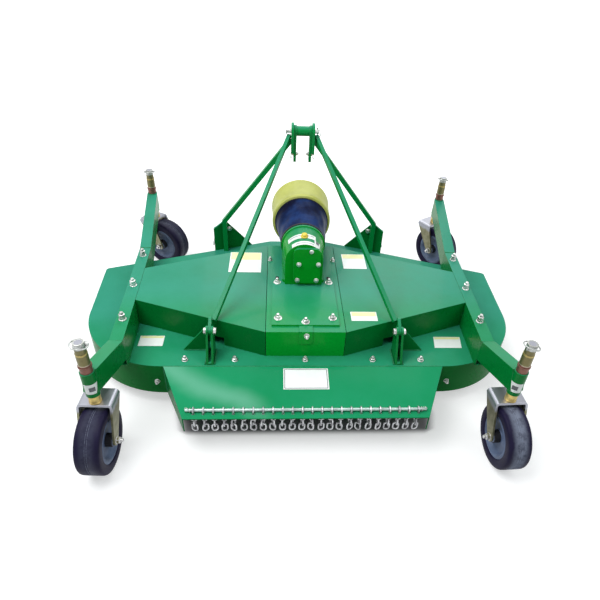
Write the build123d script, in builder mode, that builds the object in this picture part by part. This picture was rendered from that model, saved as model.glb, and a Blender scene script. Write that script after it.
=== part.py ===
from build123d import *
import os

# Finishing mower for a three-point hitch, in millimetres.
# X runs to the right seen from behind, Y forward to the tractor, Z up from the floor.
os.makedirs("parts", exist_ok=True)

# Where the machine stands: the rear swivel axes, and the front ones ahead of them
REAR_Y = -630.55
WHEELBASE = 1351.0
REAR_TRACK_HALF = 728.0
FRONT_TRACK_HALF = 776.0

# Caster wheels and forks
WHEEL_R = 121.0
WHEEL_W = 86.0
TYRE_CORNER = 6.0
RIM_R = 84.0
RIM_DISH = 18.0
RIM_LIP = 7.0
BOSS_R = 23.0
AXLE_R = 8.0
AXLE_HEAD_R = 13.0
AXLE_HEAD = 10.0
TRAIL = 51.0
FORK_T = 8.0
FORK_PLATE = 80.0
FORK_LEAD = 61.0
FORK_END_R = 19.0
FORK_BEND_R = 14.0
CROWN_GAP = 12.0
SIDE_GAP = 0.5
BOSS_STAND = 9.0

# Swivel tubes, spindles and the height spacers above them
TUBE_R = 24.0
TUBE_TOP = 403.0
TUBE_LENGTH = 103.0
SPINDLE_R = 12.5
COLLAR_R = 19.0
RUN = 0.1
SEAT = 0.3

# Deck of bent sheet
DECK_TOP = 205.0
SKIRT = 145.0
SHEET = 4.0
DECK_REAR = 230.0
LOBE_R = 360.0
LOBE_X = 558.0
DECK_CORNER_X = 937.0
DECK_CORNER_Y = 912.0
NOSE_HALF = 150.0
NOSE_Y = 1202.0
NOSE_R = 60.0
CORNER_R = 18.0

# Rear discharge chute
MOUTH_HALF = 550.0
LIP_HALF = 447.0
LIP_Y = -8.0
LIP_DROP = 31.0
CHUTE_END_H = 66.0

# Chain curtain: links of square wire hung from a rod above the chute plate
CHAINS = 24
CHAIN_EDGE = 36.5
ROD_R = 6.0
ROD_END = 7.0
ROD_FROM_LIP = 32.0
LINKS = 3
WIRE = 6.0
LINK_LENGTH = 40.0
LINK_WIDTH = 26.0
LINK_CUT = 7.0
SLOT_PLAY = 3.0

# Side rails and caster arms
RAIL_W = 50.0
RAIL_TOP = 329.0
RAIL_WALL = 4.0
RAIL_REAR_X = 707.0
RAIL_REAR_Y = 235.0
RAIL_FRONT_X = 733.0
RAIL_FRONT_Y = 905.0
ARM_H = 88.0

# Belt covers and the channel between them
COVER_SHEET = 3.0
COVER_GAP = 1.0
COVER_REAR_Y = 492.0
COVER_SHOULDER_Y = 730.0
COVER_MID_X = 336.0
COVER_MID_Y = 872.0
COVER_NOSE_Y = 944.0
CHANNEL_HALF = 156.0
CHANNEL_REAR = 290.0
CHANNEL_WALL = 5.0
PANEL_GAP = 2.0
NOTCH_X = 347.0
NOTCH_W = 44.0
NOTCH_H = 38.0

# Gearbox, its stand, the boot and the shaft guard
STAND_T = 8.0
STAND_HALF = 134.0
STAND_REAR = 325.0
STAND_FRONT = 900.0
TAB_W = 54.0
TAB_T = 4.0
TAB_DROP = 58.0
SHAFT_Z = 455.0
NECK_R = 92.0
NECK_FRONT = 745.0
NECK_REAR = 668.0
NECK_LIP = 4.0
NECK_LIP_T = 12.0
CASE_R = 80.0
CASE_REAR = 604.0
LID_HALF = 57.0
LID_T = 12.0
LID_BOTTOM = 352.0
LID_TOP = 520.0
LID_CORNER = 24.0
LID_X = 12.0
GEARBOX_FOOT = 14.0
BOOT_FRONT = 950.0
BOOT_R = 124.0
BOOT_WALL = 4.0
GUARD_FRONT = 1118.0
GUARD_R = 135.0
GUARD_FRONT_R = 140.0
SHAFT_R = 17.4
SPLINE_DEPTH = 3.0
SPLINES = 6
SHAFT_FRONT = 905.0
SPLINE_LENGTH = 90.0

# Three-point mast and floating top link
MAST_Y = 1115.0
MAST_Z = 829.0
EAR_R = 36.0
EAR_T = 12.0
EAR_X = 41.5
EAR_DROP = 92.0
EAR_FOOT = 74.0
LEG_BAR = 22.0
BRACE_BAR = 17.0
LEG_BEND_X = 377.0
LEG_BEND_Z = 375.0
LEG_TOP_DROP = 40.0
BRACE_CLEAR = 3.0
MAST_PIN_R = 9.5
MAST_PIN_OUT = 20.0
STRAP_T = 12.0
STRAP_R = 26.0
STRAP_END_R = 20.0
STRAP_LENGTH = 124.0
TOP_LINK_HOLE_R = 9.75
SPACER_TUBE_R = 22.0

# Rear lugs that take the braces
LUG_X = 372.0
LUG_Y = 309.0
LUG_Z = 317.0
LUG_T = 8.0
LUG_R = 20.0
LUG_FOOT = 92.0
LUG_BOLT_R = 8.0
GUSSET_W = 100.0
BRACE_END_T = 12.0
BRACE_END = 46.0
BRACE_END_R = 15.0

# Lower hitch brackets
BRACKET_T = 8.0
BRACKET_INNER_X = 247.0
BRACKET_RISE = 165.0
BRACKET_FALL = 40.0
CHEEK_IN_X = 363.0
CHEEK_GAP = 50.0
CHEEK_T = 10.0
CHEEK_REACH = 92.0
HITCH_PIN_R = 11.0
HITCH_PIN_OUT = 16.0
HITCH_PIN_Z = 203.0
HITCH_PIN_REACH = 62.0
HITCH_HEAD_R = 17.0

# Blades and their spindles
BLADE_X = 590.0
BLADE_Y = 568.0
CENTRE_BLADE_Y = 868.0
BLADE_R = 300.0
BLADE_W = 64.0
BLADE_T = 6.0
BLADE_Z = 82.0
WING_RISE = 18.0
WING_LENGTH = 90.0
HUB_R = 44.0
BLADE_NUT_R = 16.0
HOUSING_R = 62.0
HOUSING_FOOT_R = 40.0
HOUSING_FLANGE_R = 92.0
HOUSING_FLANGE_T = 10.0
HOUSING_GAP = 0.5

# What follows from the driving sizes
WHEEL_Z = WHEEL_R
CROWN_Z = 2 * WHEEL_R + CROWN_GAP
FORK_HALF = WHEEL_W / 2 + BOSS_STAND + SIDE_GAP + FORK_T
SPINDLE_FOOT = CROWN_Z + FORK_T
TUBE_BOTTOM = TUBE_TOP - TUBE_LENGTH
SKIRT_BOTTOM = DECK_TOP - SKIRT
FRONT_Y = REAR_Y + WHEELBASE
LIP_Z = DECK_TOP - LIP_DROP
CHUTE_SLOPE = LIP_DROP / (DECK_REAR - LIP_Y)
STAND_TOP = RAIL_TOP + STAND_T
NOSE_SLOPE = (NOSE_Y - DECK_CORNER_Y) / (DECK_CORNER_X - NOSE_HALF)
CHEEK_OUT_X = CHEEK_IN_X + CHEEK_T + CHEEK_GAP
HITCH_PIN_Y = NOSE_Y - (CHEEK_IN_X - NOSE_HALF) * NOSE_SLOPE + HITCH_PIN_REACH
BRACKET_OUTER_X = CHEEK_OUT_X + CHEEK_T

# Swivel places: name, x, y, turn of the wheel from straight behind, degrees
CASTERS = [
    ("rear_left", -REAR_TRACK_HALF, REAR_Y, -3.0),
    ("rear_right", REAR_TRACK_HALF, REAR_Y, 3.0),
    ("front_left", -FRONT_TRACK_HALF, FRONT_Y, 62.0),
    ("front_right", FRONT_TRACK_HALF, FRONT_Y, 32.0),
]
# Spacers on a spindle above its tube, from the lowest up: radius, height; the last is the cap
SPACERS = [(20.5, 24.0), (22.5, 4.0), (19.5, 54.0), (18.0, 42.0)]
SPINDLE_TOP = TUBE_TOP + SEAT + sum(height for radius, height in SPACERS)
# Blade spindles: name, x, distance ahead of the rear swivel axes
SPINDLES = [
    ("left", -BLADE_X, BLADE_Y),
    ("centre", 0.0, CENTRE_BLADE_Y),
    ("right", BLADE_X, BLADE_Y),
]
SIDES = [("left", -1), ("right", 1)]


def ahead(distance):
    """Y of a place that lies this far ahead of the rear swivel axes."""
    return REAR_Y + distance


def deck_edge(x):
    """Distance ahead of the rear axes of the deck's slanting front edge at x."""
    return NOSE_Y - (abs(x) - NOSE_HALF) * NOSE_SLOPE


def rail_middle(side, distance):
    """Middle of the rail at a distance ahead of the rear axes."""
    share = (distance - RAIL_REAR_Y) / (RAIL_FRONT_Y - RAIL_REAR_Y)
    x = RAIL_REAR_X + share * (RAIL_FRONT_X - RAIL_REAR_X)
    return Vector(side * x, ahead(distance), (DECK_TOP + RAIL_TOP) / 2)


def keep(builder, node):
    """Label a finished piece and write its file."""
    builder.part.label = node
    export_step(builder.part, f"parts/{node}.step")


def outline(*points):
    """Flat face inside a closed run of straight lines."""
    with BuildSketch() as shape:
        with BuildLine():
            Polyline(*points, close=True)
        make_face()
    return shape.sketch


def across(start, end):
    """Plane square to a bar that runs from start to end, with its height direction upright."""
    run = end - start
    return Plane(origin=start, x_dir=run.cross(Vector(0, 0, 1)), z_dir=run)


def bar(start, end, width, height, wall=0.0):
    """Straight bar from start to end, or a tube where it has a wall."""
    with BuildPart() as piece:
        with BuildSketch(across(start, end)):
            Rectangle(width, height)
            if wall:
                Rectangle(width - 2 * wall, height - 2 * wall, mode=Mode.SUBTRACT)
        extrude(amount=(end - start).length)
    return piece.part


def upright(distance, height=0.0):
    """Plane facing backwards at a distance ahead of the rear axes, centred at a height."""
    return Plane(origin=(0, ahead(distance), height), x_dir=(1, 0, 0), z_dir=(0, -1, 0))


def deck_outline(inset):
    """Plan of the deck, round at the rear corners and pointed forward, moved in by a wall."""
    rear = (LOBE_X, ahead(DECK_REAR))
    side = (LOBE_X + LOBE_R, ahead(DECK_REAR + LOBE_R))
    corner = (DECK_CORNER_X, ahead(DECK_CORNER_Y))
    nose = (NOSE_HALF, ahead(NOSE_Y))
    with BuildSketch() as plan:
        with BuildLine():
            Line((0, rear[1]), rear)
            CenterArc((LOBE_X, side[1]), LOBE_R, -90, 90)
            Polyline(side, corner, nose, (0, nose[1]))
            mirror(about=Plane.YZ)
        make_face()
        fillet(plan.vertices().group_by(Axis.Y)[-1], radius=NOSE_R)
        fillet(plan.vertices().sort_by(Axis.X)[0], radius=CORNER_R)
        fillet(plan.vertices().sort_by(Axis.X)[-1], radius=CORNER_R)
        if inset:
            offset(amount=-inset, mode=Mode.REPLACE)
    return plan.sketch


# Deck: a flat top with a skirt all round, open below and at the chute's mouth
with BuildPart() as deck_shell:
    with BuildSketch(Plane.XY.offset(SKIRT_BOTTOM)):
        add(deck_outline(0))
    extrude(amount=SKIRT)
    with BuildSketch(Plane.XY.offset(SKIRT_BOTTOM)):
        add(deck_outline(SHEET))
        with Locations((0, ahead(DECK_REAR) + SHEET)):
            Rectangle(2 * (MOUTH_HALF - SHEET), 2 * SHEET)
    extrude(amount=SKIRT - SHEET, mode=Mode.SUBTRACT)
keep(deck_shell, "deck_shell")


def chute_plan(inset):
    """Plan of the chute, wide at the deck and narrow at the lip."""
    mouth = MOUTH_HALF - inset
    lip = LIP_HALF - inset
    rear = ahead(LIP_Y)
    front = ahead(DECK_REAR)
    return outline((-mouth, front), (mouth, front), (lip, rear), (-lip, rear))


def chute_side(drop, foot_front, foot_rear):
    """Side view of the chute under a sloping roof that lies this far below its top face."""
    return outline(
        (ahead(DECK_REAR), DECK_TOP - drop),
        (ahead(DECK_REAR), foot_front),
        (ahead(LIP_Y), foot_rear),
        (ahead(LIP_Y), LIP_Z - drop),
    )


# Chain stations along the rod, and the rod's place above the chute's roof
ROD_Y = ahead(LIP_Y + ROD_FROM_LIP)
ROD_Z = LIP_Z + ROD_FROM_LIP * CHUTE_SLOPE + ROD_R + SEAT
ROD_HALF = LIP_HALF - ROD_END
FIRST_CHAIN_X = CHAIN_EDGE - LIP_HALF
CHAIN_STEP = -2 * FIRST_CHAIN_X / (CHAINS - 1)
CHAIN_XS = [FIRST_CHAIN_X + k * CHAIN_STEP for k in range(CHAINS)]

# Space inside the chute, open to the deck, to the rear and below
with BuildPart() as chute_space:
    with BuildSketch():
        add(chute_plan(SHEET))
    extrude(amount=DECK_TOP)
    with BuildSketch(Plane.YZ.offset(-MOUTH_HALF)):
        add(chute_side(SHEET, 0, 0))
    extrude(amount=2 * MOUTH_HALF, mode=Mode.INTERSECT)

# Chute: a sloping roof and two side walls, with a slot in the roof for each chain
with BuildPart() as discharge_chute:
    with BuildSketch():
        add(chute_plan(0))
    extrude(amount=DECK_TOP)
    with BuildSketch(Plane.YZ.offset(-MOUTH_HALF)):
        add(chute_side(0, SKIRT_BOTTOM, LIP_Z - CHUTE_END_H))
    extrude(amount=2 * MOUTH_HALF, mode=Mode.INTERSECT)
    add(chute_space.part, mode=Mode.SUBTRACT)
    with BuildSketch(Plane.XY.offset(LIP_Z - 2 * SHEET)):
        with Locations([(x, ROD_Y) for x in CHAIN_XS]):
            Rectangle(WIRE + SLOT_PLAY, LINK_WIDTH + SLOT_PLAY)
    extrude(amount=LIP_DROP + 2 * SHEET, mode=Mode.SUBTRACT)
keep(discharge_chute, "discharge_chute")

# Rod that the chains hang from
with BuildPart() as chain_rod:
    with BuildSketch(Plane.YZ.offset(-ROD_HALF)):
        with Locations((ROD_Y, ROD_Z)):
            Circle(ROD_R)
    extrude(amount=2 * ROD_HALF)
keep(chain_rod, "chain_rod")

# Chains: each next link stands square to the one above and hangs in its lower end
LINK_PITCH = LINK_LENGTH - 2 * WIRE - SEAT
FIRST_LINK_Z = ROD_Z + ROD_R + SEAT + WIRE - LINK_LENGTH / 2
with BuildPart() as chain_curtain:
    for x in CHAIN_XS:
        for k in range(LINKS):
            seen_from = (1, 0, 0) if k % 2 == 0 else (0, 1, 0)
            centre = (x, ROD_Y, FIRST_LINK_Z - k * LINK_PITCH)
            width_way = Vector(0, 0, 1).cross(Vector(*seen_from))
            with BuildSketch(Plane(origin=centre, x_dir=width_way, z_dir=seen_from)):
                Rectangle(LINK_WIDTH, LINK_LENGTH)
                chamfer(vertices(), length=LINK_CUT)
                Rectangle(LINK_WIDTH - 2 * WIRE, LINK_LENGTH - 2 * WIRE, mode=Mode.SUBTRACT)
            extrude(amount=WIRE / 2, both=True)
keep(chain_curtain, "chain_curtain")

# Channel between the belt covers: upside-down U along the machine with closed ends
CHANNEL_LENGTH = COVER_NOSE_Y - CHANNEL_REAR
CHANNEL_H = RAIL_TOP - DECK_TOP
with BuildPart() as cross_channel:
    with BuildSketch(Plane.XY.offset(DECK_TOP)):
        with Locations((0, ahead(CHANNEL_REAR + CHANNEL_LENGTH / 2))):
            Rectangle(2 * CHANNEL_HALF, CHANNEL_LENGTH)
    extrude(amount=CHANNEL_H)
    with BuildSketch(Plane.XY.offset(DECK_TOP)):
        with Locations((0, ahead(CHANNEL_REAR + CHANNEL_LENGTH / 2))):
            Rectangle(2 * (CHANNEL_HALF - CHANNEL_WALL), CHANNEL_LENGTH - 2 * CHANNEL_WALL)
    extrude(amount=CHANNEL_H - CHANNEL_WALL, mode=Mode.SUBTRACT)
keep(cross_channel, "cross_channel")


def cover_corner(side, distance):
    """Corner of a belt cover beside the rail."""
    rail = rail_middle(side, distance)
    return rail.X - side * (RAIL_W / 2 + COVER_GAP), rail.Y


def cover_plan(side, inset):
    """Plan of one belt cover: widest at the channel, narrow at the rail."""
    inner = CHANNEL_HALF + PANEL_GAP
    with BuildSketch() as plan:
        add(outline(
            (side * inner, ahead(CHANNEL_REAR)),
            cover_corner(side, COVER_REAR_Y),
            cover_corner(side, COVER_SHOULDER_Y),
            (side * COVER_MID_X, ahead(COVER_MID_Y)),
            (side * inner, ahead(COVER_NOSE_Y)),
        ))
        if inset:
            offset(amount=-inset, kind=Kind.INTERSECTION, mode=Mode.REPLACE)
    return plan.sketch


# Belt covers: folded sheet boxes, open below, with a notch at the foot of the rear wall
COVER_SLOPE = (COVER_REAR_Y - CHANNEL_REAR) / (cover_corner(1, COVER_REAR_Y)[0] - CHANNEL_HALF - PANEL_GAP)
NOTCH_Y = CHANNEL_REAR + (NOTCH_X - CHANNEL_HALF - PANEL_GAP) * COVER_SLOPE
for name, side in SIDES:
    with BuildPart() as belt_cover:
        with BuildSketch(Plane.XY.offset(DECK_TOP)):
            add(cover_plan(side, 0))
        extrude(amount=CHANNEL_H)
        with BuildSketch(Plane.XY.offset(DECK_TOP)):
            add(cover_plan(side, COVER_SHEET))
        extrude(amount=CHANNEL_H - COVER_SHEET, mode=Mode.SUBTRACT)
        with BuildSketch(Plane.XY.offset(DECK_TOP)):
            with Locations((side * NOTCH_X, ahead(NOTCH_Y))):
                Rectangle(NOTCH_W, NOTCH_W)
        extrude(amount=NOTCH_H, mode=Mode.SUBTRACT)
    keep(belt_cover, f"belt_cover_{name}")

# Stand: a flat plate on the channel with a tab bent down over its rear end
with BuildPart() as gearbox_stand:
    with BuildSketch(Plane.XY.offset(RAIL_TOP)):
        with Locations((0, ahead((STAND_REAR + STAND_FRONT) / 2))):
            Rectangle(2 * STAND_HALF, STAND_FRONT - STAND_REAR)
    extrude(amount=STAND_T)
    with BuildSketch(Plane.XY.offset(RAIL_TOP)):
        with Locations((0, ahead((STAND_REAR + CHANNEL_REAR - TAB_T) / 2))):
            Rectangle(TAB_W, STAND_REAR - CHANNEL_REAR + TAB_T)
    extrude(amount=TAB_T)
    with BuildSketch(upright(CHANNEL_REAR, RAIL_TOP)) as tab:
        with Locations((0, -TAB_DROP / 2)):
            Rectangle(TAB_W, TAB_DROP)
        fillet(tab.vertices().group_by(Axis.Z)[0], radius=TAB_W / 5)
    extrude(amount=TAB_T)
keep(gearbox_stand, "gearbox_stand")


def housing_face(half_width, floor):
    """Gearbox section seen from behind: a round top over straight sides."""
    with BuildSketch() as face:
        Circle(half_width)
        with Locations((0, (floor - SHAFT_Z) / 2)):
            Rectangle(2 * half_width, SHAFT_Z - floor)
    return face.sketch


# Gearbox: a round-topped casting, widest at its front rim, with a bolted rear lid and a foot
with BuildPart() as gearbox:
    with BuildSketch(upright(NECK_FRONT, SHAFT_Z)):
        add(housing_face(NECK_R, STAND_TOP))
    with BuildSketch(upright(CASE_REAR, SHAFT_Z)):
        add(housing_face(CASE_R, STAND_TOP))
    loft()
    with BuildSketch(upright(NECK_FRONT, SHAFT_Z)):
        Circle(NECK_R + NECK_LIP)
    extrude(amount=NECK_LIP_T)
    with BuildSketch(upright(CASE_REAR, (LID_BOTTOM + LID_TOP) / 2)) as lid:
        with Locations((LID_X, 0)):
            Rectangle(2 * LID_HALF, LID_TOP - LID_BOTTOM)
        fillet(lid.vertices().group_by(Axis.Z)[-1], radius=LID_CORNER)
    extrude(amount=LID_T)
    with BuildSketch(Plane.XY.offset(STAND_TOP)) as foot:
        with Locations((0, ahead((CASE_REAR + NECK_FRONT) / 2))):
            Rectangle(2 * NECK_R, NECK_FRONT - CASE_REAR - 2 * GEARBOX_FOOT)
        fillet(foot.vertices(), radius=GEARBOX_FOOT)
    extrude(amount=GEARBOX_FOOT)
    with BuildSketch(upright(NECK_FRONT, SHAFT_Z)):
        Circle(SHAFT_R + RUN)
    extrude(amount=NECK_FRONT - NECK_REAR, mode=Mode.SUBTRACT)
keep(gearbox, "gearbox")


def turned(*points):
    """Ring turned about the shaft: points are distance ahead and radius, in order round the wall."""
    with BuildPart() as ring:
        with BuildSketch(Plane(origin=(0, 0, SHAFT_Z), x_dir=(0, 1, 0), z_dir=(1, 0, 0))):
            add(outline(*[(ahead(distance), radius) for distance, radius in points]))
        revolve(axis=Axis((0, 0, SHAFT_Z), (0, 1, 0)))
    return ring.part


# Boot: a dark cone that widens from the gearbox neck to the guard
with BuildPart() as shaft_boot:
    add(turned(
        (NECK_FRONT, NECK_R - BOOT_WALL),
        (NECK_FRONT, NECK_R + BOOT_WALL),
        (BOOT_FRONT, BOOT_R),
        (BOOT_FRONT, BOOT_R - BOOT_WALL),
        (NECK_FRONT + BOOT_WALL, NECK_R),
        (NECK_FRONT + BOOT_WALL, NECK_R - BOOT_WALL),
    ))
keep(shaft_boot, "shaft_boot")

# Guard: a bell with a flange at its rear, open to the front
with BuildPart() as shaft_guard:
    add(turned(
        (BOOT_FRONT, BOOT_R - BOOT_WALL),
        (BOOT_FRONT, GUARD_R),
        (GUARD_FRONT, GUARD_FRONT_R),
        (GUARD_FRONT, GUARD_FRONT_R - BOOT_WALL),
        (BOOT_FRONT + BOOT_WALL, GUARD_R - BOOT_WALL),
        (BOOT_FRONT + BOOT_WALL, BOOT_R - BOOT_WALL),
    ))
keep(shaft_guard, "shaft_guard")

# Splined input shaft that turns inside the boot
with BuildPart() as input_shaft:
    with BuildSketch(upright(SHAFT_FRONT, SHAFT_Z)):
        Circle(SHAFT_R)
    extrude(amount=SHAFT_FRONT - NECK_REAR - SPLINE_DEPTH)
    with BuildSketch(upright(SHAFT_FRONT, SHAFT_Z)):
        with PolarLocations(SHAFT_R, SPLINES):
            Rectangle(2 * SPLINE_DEPTH, 2 * SPLINE_DEPTH)
    extrude(amount=SPLINE_LENGTH, mode=Mode.SUBTRACT)
keep(input_shaft, "input_shaft")


def caster_arm(rail_start, rail_tip, swivel_x, swivel_y):
    """Rectangular tube that rises from a rail's end to a swivel tube, as one welded piece."""
    start = Vector(rail_tip.X, rail_tip.Y, RAIL_TOP - ARM_H / 2)
    end = Vector(swivel_x, swivel_y, TUBE_TOP - ARM_H / 2)
    early = start - (end - start).normalized() * ARM_H
    with BuildPart() as arm:
        add(bar(early, end, RAIL_W, ARM_H))
        with BuildSketch(Plane.XY.offset(TUBE_BOTTOM)):
            with Locations((swivel_x, swivel_y)):
                Circle(TUBE_R)
        extrude(amount=TUBE_LENGTH)
        split(bisect_by=Plane(origin=rail_tip, z_dir=rail_tip - rail_start))
        split(bisect_by=Plane.XY.offset(TUBE_TOP), keep=Keep.BOTTOM)
        with BuildSketch(Plane.XY.offset(TUBE_BOTTOM)):
            with Locations((swivel_x, swivel_y)):
                Circle(SPINDLE_R + RUN)
        extrude(amount=TUBE_LENGTH, mode=Mode.SUBTRACT)
    return arm


# Rails: deep rectangular tubes standing on the deck, with an arm at each end
for name, side in SIDES:
    rail_rear = rail_middle(side, RAIL_REAR_Y)
    rail_front = rail_middle(side, RAIL_FRONT_Y)
    with BuildPart() as side_rail:
        add(bar(rail_rear, rail_front, RAIL_W, CHANNEL_H, RAIL_WALL))
    keep(side_rail, f"side_rail_{name}")
    keep(caster_arm(rail_rear, rail_front, side * FRONT_TRACK_HALF, FRONT_Y), f"front_arm_{name}")
    keep(caster_arm(rail_front, rail_rear, side * REAR_TRACK_HALF, REAR_Y), f"rear_arm_{name}")


def hitch_bracket(side):
    """Lower hitch bracket: a web on the deck's front edge and two cheeks bored for the pin."""
    inner = Vector(side * BRACKET_INNER_X, ahead(deck_edge(BRACKET_INNER_X)), DECK_TOP)
    outer = Vector(side * BRACKET_OUTER_X, ahead(deck_edge(BRACKET_OUTER_X)), DECK_TOP)
    run = outer - inner
    shoulder = BRACKET_RISE - BRACKET_FALL
    peak = run.length * (LEG_BEND_X - BRACKET_INNER_X) / (BRACKET_OUTER_X - BRACKET_INNER_X)
    with BuildPart() as bracket:
        with BuildSketch(Plane(origin=inner, x_dir=run, z_dir=run.cross(Vector(0, 0, 1)))):
            add(outline(
                (0, -BRACKET_FALL),
                (run.length, -BRACKET_FALL),
                (run.length, shoulder),
                (peak, BRACKET_RISE),
                (0, 0),
            ))
        extrude(amount=-side * BRACKET_T)
        front = ahead(deck_edge(CHEEK_IN_X)) + CHEEK_REACH
        for cheek_x in (CHEEK_IN_X, CHEEK_OUT_X):
            near_x = min(side * cheek_x, side * (cheek_x + CHEEK_T))
            rear = ahead(deck_edge(cheek_x)) + BRACKET_T / 2
            with BuildSketch(Plane.YZ.offset(near_x)):
                add(outline(
                    (rear, DECK_TOP - BRACKET_FALL),
                    (front, DECK_TOP - BRACKET_FALL),
                    (front, DECK_TOP + BRACKET_FALL / 2),
                    (rear + 2 * BRACKET_T, DECK_TOP + shoulder),
                    (rear, DECK_TOP + shoulder),
                ))
                with Locations((ahead(HITCH_PIN_Y), HITCH_PIN_Z)):
                    Circle(HITCH_PIN_R, mode=Mode.SUBTRACT)
            extrude(amount=CHEEK_T)
    return bracket


def mast_side(side):
    """One side of the mast: a rounded ear and the front leg that bends down to the deck."""
    top = Vector(side * (EAR_X + EAR_T), ahead(MAST_Y), MAST_Z - LEG_TOP_DROP)
    leg_y = ahead(deck_edge(LEG_BEND_X + LEG_BAR / 2)) - LEG_BAR / 2 - SEAT
    bend = Vector(side * LEG_BEND_X, leg_y, LEG_BEND_Z)
    with BuildPart() as mast:
        with BuildSketch(Plane.YZ.offset(min(side * EAR_X, side * (EAR_X + EAR_T)))):
            add(outline(
                (ahead(MAST_Y) + EAR_R, MAST_Z),
                (ahead(MAST_Y) + EAR_FOOT / 2, MAST_Z - EAR_DROP),
                (ahead(MAST_Y) - EAR_FOOT / 2, MAST_Z - EAR_DROP),
                (ahead(MAST_Y) - EAR_R, MAST_Z),
            ))
            with Locations((ahead(MAST_Y), MAST_Z)):
                Circle(EAR_R)
                Circle(MAST_PIN_R, mode=Mode.SUBTRACT)
        extrude(amount=EAR_T)
        add(bar(top, bend + (bend - top).normalized() * LEG_BAR / 3, LEG_BAR, LEG_BAR))
        with BuildSketch(Plane.XY.offset(DECK_TOP)):
            with Locations((bend.X, bend.Y)):
                Rectangle(LEG_BAR, LEG_BAR)
        extrude(amount=LEG_BEND_Z - DECK_TOP)
    return mast


def brace_lug(side):
    """Two plates on the deck for the brace's flat end, with a gusset on the outside."""
    middle = side * LUG_X
    outer = middle + side * (BRACE_END_T / 2 + LUG_T)
    with BuildPart() as lug:
        for plate_x in (middle - BRACE_END_T / 2 - LUG_T, middle + BRACE_END_T / 2):
            with BuildSketch(Plane.YZ.offset(plate_x)):
                add(outline(
                    (ahead(LUG_Y) + LUG_R, LUG_Z),
                    (ahead(LUG_Y) + LUG_R, DECK_TOP),
                    (ahead(LUG_Y) + LUG_R - LUG_FOOT, DECK_TOP),
                    (ahead(LUG_Y) - LUG_R, LUG_Z),
                ))
                with Locations((ahead(LUG_Y), LUG_Z)):
                    Circle(LUG_R)
                    Circle(LUG_BOLT_R, mode=Mode.SUBTRACT)
            extrude(amount=LUG_T)
        with BuildSketch(Plane.XY.offset(DECK_TOP)):
            with Locations((middle, ahead(LUG_Y) + LUG_R - LUG_FOOT / 2)):
                Rectangle(BRACE_END_T, LUG_FOOT)
        extrude(amount=LUG_T)
        with BuildSketch(upright(LUG_Y + LUG_R)):
            add(outline((outer, DECK_TOP), (outer + side * GUSSET_W, DECK_TOP), (outer, LUG_Z + LUG_R / 2)))
        extrude(amount=LUG_T / 2, both=True)
    return lug


def rear_brace(side, mast):
    """Bar from the ear down to the lug, flattened for the bolt and fitted against the mast."""
    drop = MAST_PIN_R + BRACE_CLEAR + BRACE_BAR / 2
    top = Vector(side * (EAR_X + EAR_T + BRACE_BAR / 2), ahead(MAST_Y), MAST_Z - drop)
    low = Vector(side * LUG_X, ahead(LUG_Y), LUG_Z)
    bar_end = low + (top - low).normalized() * BRACE_END
    with BuildPart() as brace:
        add(bar(top, bar_end, BRACE_BAR, BRACE_BAR))
        with BuildSketch(Plane.YZ.offset(low.X - BRACE_END_T / 2)):
            with Locations((low.Y, low.Z), (bar_end.Y, bar_end.Z)):
                Circle(BRACE_END_R)
            make_hull()
            with Locations((low.Y, low.Z)):
                Circle(LUG_BOLT_R, mode=Mode.SUBTRACT)
        extrude(amount=BRACE_END_T)
        add(mast.part, mode=Mode.SUBTRACT)
    return brace


for name, side in SIDES:
    mast = mast_side(side)
    keep(hitch_bracket(side), f"hitch_bracket_{name}")
    keep(mast, f"mast_{name}")
    keep(brace_lug(side), f"brace_lug_{name}")
    keep(rear_brace(side, mast), f"brace_{name}")

# Bolts through the lugs and the braces' flat ends
LUG_HALF = BRACE_END_T / 2 + LUG_T
with BuildPart() as lug_bolts:
    for name, side in SIDES:
        for start_x, radius, length in (
            (-LUG_HALF - AXLE_HEAD, AXLE_HEAD_R, AXLE_HEAD),
            (LUG_HALF, AXLE_HEAD_R, AXLE_HEAD),
            (-LUG_HALF, LUG_BOLT_R - RUN, 2 * LUG_HALF),
        ):
            with BuildSketch(Plane.YZ.offset(side * LUG_X + start_x)):
                with Locations((ahead(LUG_Y), LUG_Z)):
                    if length == AXLE_HEAD:
                        RegularPolygon(radius, 6)
                    else:
                        Circle(radius)
            extrude(amount=length)
keep(lug_bolts, "lug_bolts")

# Pin through the two ears
MAST_PIN_HALF = EAR_X + EAR_T + MAST_PIN_OUT
with BuildPart() as mast_pin:
    with BuildSketch(Plane.YZ.offset(-MAST_PIN_HALF)):
        with Locations((ahead(MAST_Y), MAST_Z)):
            Circle(MAST_PIN_R - RUN)
    extrude(amount=2 * MAST_PIN_HALF)
keep(mast_pin, "mast_pin")

# Floating top link: two straps on a spacer tube, with a hole in each low end
STRAP_OUT = EAR_X - SEAT
with BuildPart() as float_link:
    for strap_x in (-STRAP_OUT, STRAP_OUT - STRAP_T):
        with BuildSketch(Plane.YZ.offset(strap_x)):
            with Locations((ahead(MAST_Y), MAST_Z)):
                Circle(STRAP_R)
            with Locations((ahead(MAST_Y), MAST_Z - STRAP_LENGTH)):
                Circle(STRAP_END_R)
            make_hull()
            with Locations((ahead(MAST_Y), MAST_Z - STRAP_LENGTH)):
                Circle(TOP_LINK_HOLE_R, mode=Mode.SUBTRACT)
        extrude(amount=STRAP_T)
    with BuildSketch(Plane.YZ.offset(-STRAP_OUT + STRAP_T)):
        with Locations((ahead(MAST_Y), MAST_Z)):
            Circle(SPACER_TUBE_R)
    extrude(amount=2 * (STRAP_OUT - STRAP_T))
    with BuildSketch(Plane.YZ.offset(-STRAP_OUT)):
        with Locations((ahead(MAST_Y), MAST_Z)):
            Circle(MAST_PIN_R)
    extrude(amount=2 * STRAP_OUT, mode=Mode.SUBTRACT)
keep(float_link, "float_link")

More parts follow.
